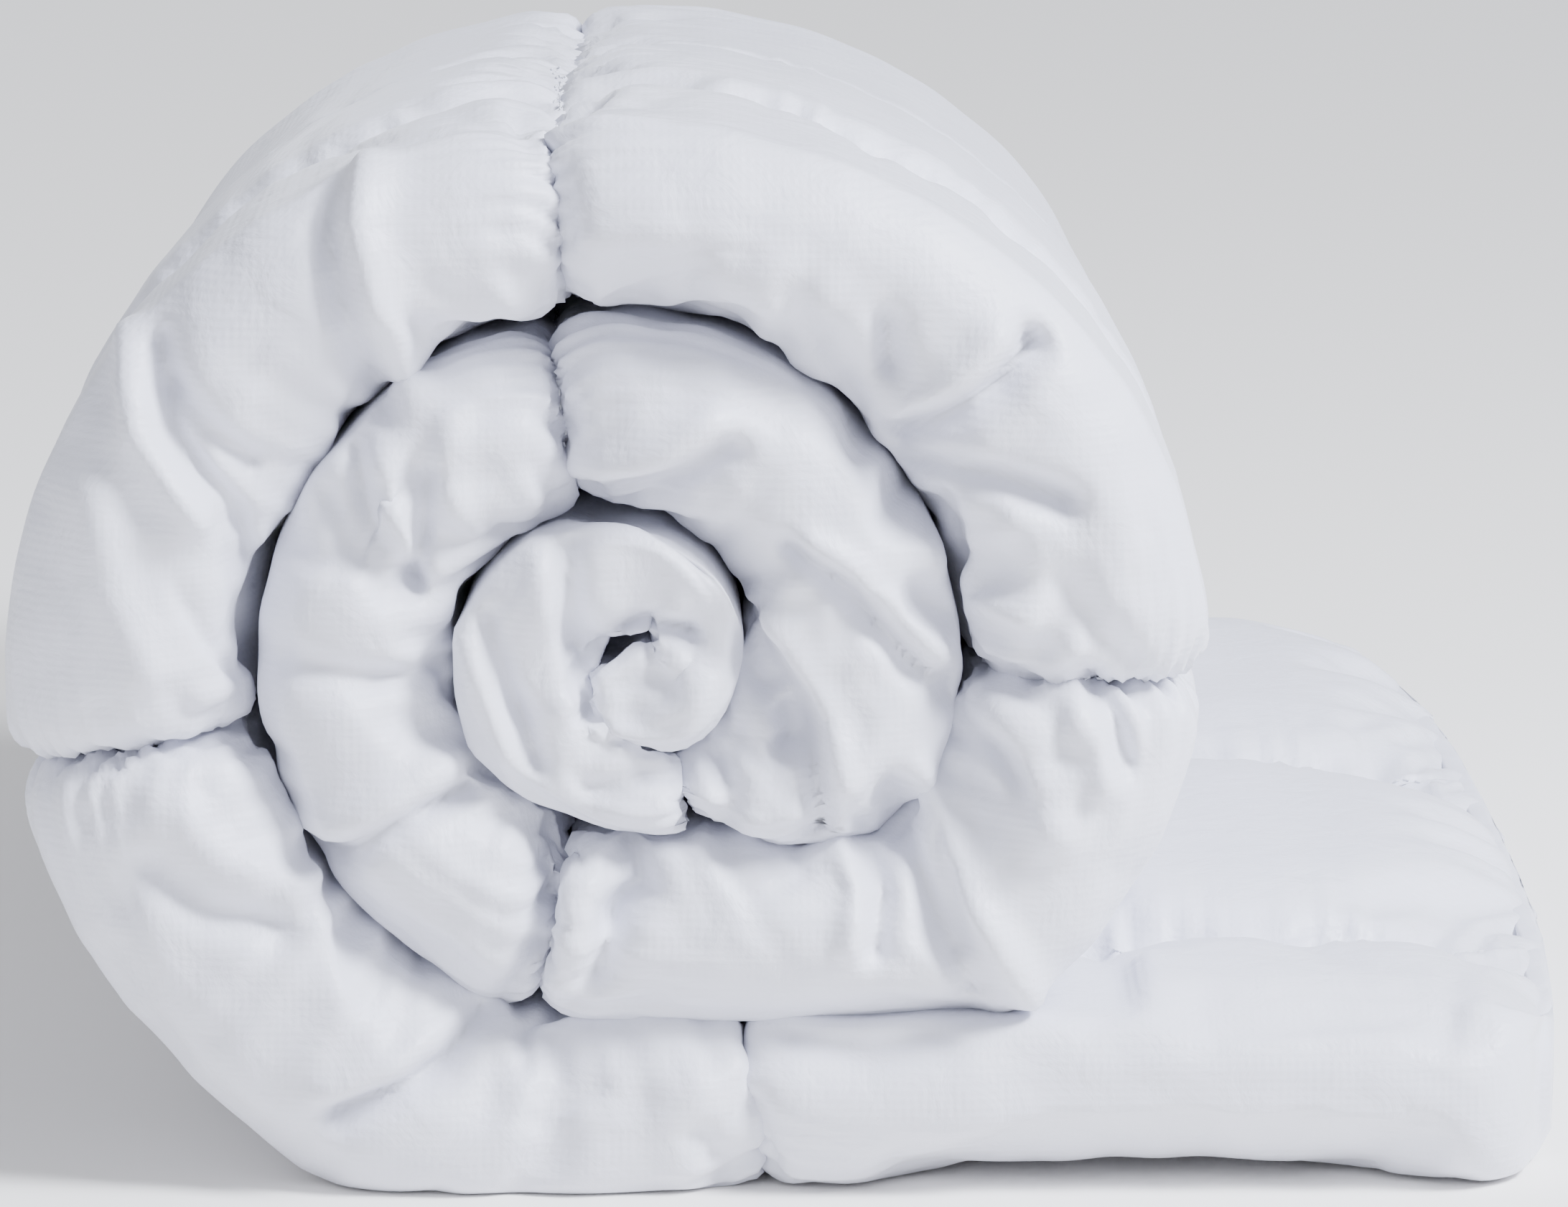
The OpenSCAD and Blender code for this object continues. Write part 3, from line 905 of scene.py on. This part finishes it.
def cross_seam_runs(row, rail, tree):
    """Stitches at the end of a row: over the outside and round the folded edge.

    The path leaves the sag out, so towards the bound end they lie beside the crease or stop.
    """
    points, labels = cross_section(rail.half[-1], 1.0, 0.0, SEEN[row], RECESS[row])
    keep = points[(labels == 0) | (labels == 1)]
    keep = keep[keep[:, 1] > -0.6 * rail.half[-1]]
    path = in_frame(rail.mid[-1], rail.across[-1], keep[:, 0], keep[:, 1])
    return sewn_run(path, tree, CROSS_SEARCH)


SEWN_NODES = {1: "tail_stitching", 2: "outer_stitching", 6: "coil_stitching", 8: "core_stitching"}
TAPED_NODES = {1: "tail_side_binding", 2: "outer_side_binding", 6: "coil_side_binding",
               8: "core_side_binding"}
for k in range(1, 9):
    tree = surface_of(rows[k])
    sewn = stitches(f"row{k}_long_seams", long_seam_runs(k, rails[k], tree))
    dress(sewn, THREAD)
    join_body(sewn, k)
    tape = side_tapes(k, rails[k])
    dress(tape, EDGE)
    join_body(tape, k)
    if k in SEWN_NODES:
        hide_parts(SEWN_NODES[k])
        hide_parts(TAPED_NODES[k])
    if k < 8:
        cross = stitches(f"cross_seam{k}_stitches", cross_seam_runs(k, rails[k], tree))
        dress(cross, THREAD)
        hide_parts(f"cross_seam{k}")
        join_body(cross, k)

end_tape = free_end_tape(rails[1])
dress(end_tape, EDGE)
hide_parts("free_end_binding")
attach(end_tape, "tail")



def core_end_tape():
    """The binding of the heart's short end, which lies inside the innermost row."""
    low, high = (np.array(c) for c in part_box("core_end_binding"))
    profile = tape_profile() * [1.0, 0.7]
    rings = []
    for y in np.linspace(low[1] / MM, high[1] / MM, 60):
        wave = 0.3 * math.sin(y / 6.0)
        rings.append(np.stack([high[0] / MM - profile[:, 0] * 0.9, np.full(len(profile), y),
                               (low[2] + high[2]) / 2 / MM + profile[:, 1] + wave], -1) * MM)
    return sweep("core_end_tape", rings)


core_tape = core_end_tape()
dress(core_tape, EDGE)
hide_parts("core_end_binding")
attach(core_tape, "core")


# ------------------------------------------------------------------ care label
def care_label():
    """A blank woven label that hangs from the upper ply's bound edge, with a soft curl."""
    low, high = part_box("care_label")
    width, length = high[0] - low[0], high[2] - low[2]
    cols, lines = 24, 27
    verts, faces = [], []
    for j in range(lines + 1):
        v = j / lines
        for i in range(cols + 1):
            u = i / cols
            curl = 0.0035 * v * v + 0.0007 * v * math.sin(7 * u + 1) + 0.0012 * v * (2 * u - 1) ** 2
            drop = length * v * 0.995
            verts.append((low[0] + width * u, (low[1] + high[1]) / 2 + curl, high[2] - drop))
    for j in range(lines):
        for i in range(cols):
            a = j * (cols + 1) + i
            faces.append((a, a + 1, a + cols + 2, a + cols + 1))
    obj = new_object("care_label_sheet", settle(np.array(verts)), faces)
    for polygon in obj.data.polygons:
        polygon.use_smooth = True
    solid = obj.modifiers.new("Thickness", "SOLIDIFY")
    solid.thickness = 0.0004
    solid.offset = 0
    dress(obj, LABEL)
    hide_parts("care_label")
    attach(obj, "label")


def bartack():
    """The dense zigzag that holds the label, in two lines of slanting stitches."""
    low, high = (np.array(c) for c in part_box("label_bartack"))
    bar = [np.array([x, high[1] - 0.0003, z]) for z in np.linspace(low[2], high[2], 2)
           for x in np.arange(low[0] + 0.001, high[0] - 0.0005, 0.0011)]
    slant, out = np.array([0.25, 0, 0.97]), np.array([0, 1.0, 0])
    return stitches("label_bartack_stitches",
                    [(p, slant * (1 if i % 2 else -1), out)
                     for i, p in enumerate(settle(np.array(bar)))])


tack = bartack()
dress(tack, THREAD)
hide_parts("label_bartack")
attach(tack, "tail")
care_label()


# ------------------------------------------------------------------ stage, light, camera
COOL = (0.86, 0.90, 1.0)         # the lights' colour


def backdrop():
    floor = new_object("floor", [(-6, -6, 0), (6, -6, 0), (6, 6, 0), (-6, 6, 0)], [(0, 1, 2, 3)])
    paper, _, _ = new_material("floor_paper", (0.95, 0.93, 0.89), 0.9, 0.0)
    floor.data.materials.append(paper)


def area_light(name, place, target, size, power):
    lamp = bpy.data.lights.new(name, "AREA")
    lamp.shape = "RECTANGLE"
    lamp.size, lamp.size_y = size
    lamp.energy = power
    lamp.color = COOL
    obj = bpy.data.objects.new(name, lamp)
    bpy.context.scene.collection.objects.link(obj)
    obj.location = place
    obj.rotation_euler = (Vector(target) - Vector(place)).to_track_quat("-Z", "Y").to_euler()


def sky_light():
    """A soft sun from the upper right and a little from the front, and a pale world."""
    sun = bpy.data.lights.new("sky", "SUN")
    sun.energy = 2.4
    sun.color = COOL
    sun.angle = math.radians(18)
    sky = bpy.data.objects.new("sky", sun)
    bpy.context.scene.collection.objects.link(sky)
    sky.rotation_euler = Vector((-1.0, 0.35, -1.5)).to_track_quat("-Z", "Y").to_euler()
    world = bpy.data.worlds.new("studio")
    world.use_nodes = True
    world.node_tree.nodes["Background"].inputs["Color"].default_value = (0.90, 0.925, 1.0, 1)
    world.node_tree.nodes["Background"].inputs["Strength"].default_value = 0.74
    bpy.context.scene.world = world


def photo_camera():
    """Looks at the folded end from a little above, as in the photo."""
    camera = bpy.data.cameras.new("camera")
    camera.sensor_width = 36
    camera.lens = 169.5
    eye = bpy.data.objects.new("camera", camera)
    bpy.context.scene.collection.objects.link(eye)
    eye.location = (-0.0309, -2.7, 0.6738)
    eye.rotation_euler = (math.radians(90 - 11.34), 0, math.radians(-0.636))
    bpy.context.scene.camera = eye


backdrop()
middle = (0.0, 0.0, 0.17)
area_light("key", (1.5, -1.0, 1.7), middle, (0.6, 0.6), 132)
area_light("fill", (-1.2, -2.4, 0.9), middle, (1.2, 1.2), 8)
sky_light()
photo_camera()
